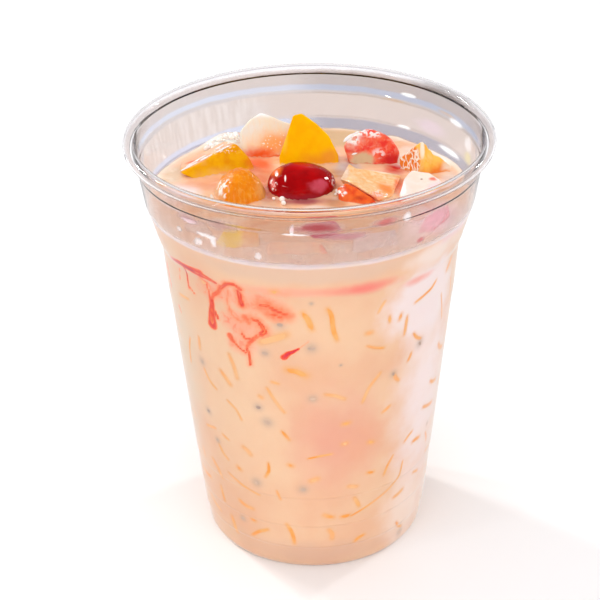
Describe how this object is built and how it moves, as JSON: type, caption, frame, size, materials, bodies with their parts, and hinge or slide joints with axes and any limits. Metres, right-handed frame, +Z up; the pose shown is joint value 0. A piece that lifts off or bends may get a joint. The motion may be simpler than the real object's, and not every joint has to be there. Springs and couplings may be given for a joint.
{
  "type": "falooda in a clear plastic cup",
  "caption": "Milky dessert drink filled nearly to the top of a clear tapered plastic cup with a rolled rim, with cut fruit and a cherry standing out of its surface.",
  "frame": {"origin": "middle of the cup's foot, on the surface it stands on", "axes": "+Z up along the cup's axis; -Y is the side that the picture shows"},
  "size_m": [0.098, 0.098, 0.12],
  "materials": {
    "clear_plastic": "clear thin plastic, glossy",
    "milk": "peach-tinted milk, wet",
    "mango": "smooth wet mango flesh",
    "peach": "wet golden peach flesh",
    "pear": "wet cream-white flesh, stained orange below",
    "strawberry": "coral red, partly coated with milk",
    "orange": "wet orange pulp with fibres",
    "papaya": "pale orange flesh, wet",
    "red_papaya": "deep red-orange flesh, wet",
    "apple": "pale cream flesh, wet",
    "pale_fruit": "pale pink-cream flesh, soaked in milk",
    "jelly": "clear soft jelly",
    "cherry": "deep red preserved cherry, very glossy"
  },
  "bodies": {
    "root": {"cup": "clear_plastic", "milk_drink": "milk", "mango_wedge": "mango", "peach_wedge": "peach", "pear_chunk": "pear", "strawberry_half": "strawberry", "orange_chunk": "orange", "papaya_slab": "papaya", "red_papaya_chunk": "red_papaya", "apple_chunk": "apple", "yellow_chunk": "peach", "pale_peach_chunk": "pale_fruit", "pale_cube": "pale_fruit", "jelly_piece": "jelly", "strawberry_slice": "strawberry", "front_berry_piece": "cherry", "cherry": "cherry", "orange_segment": "orange"}
  },
  "joints": []
}
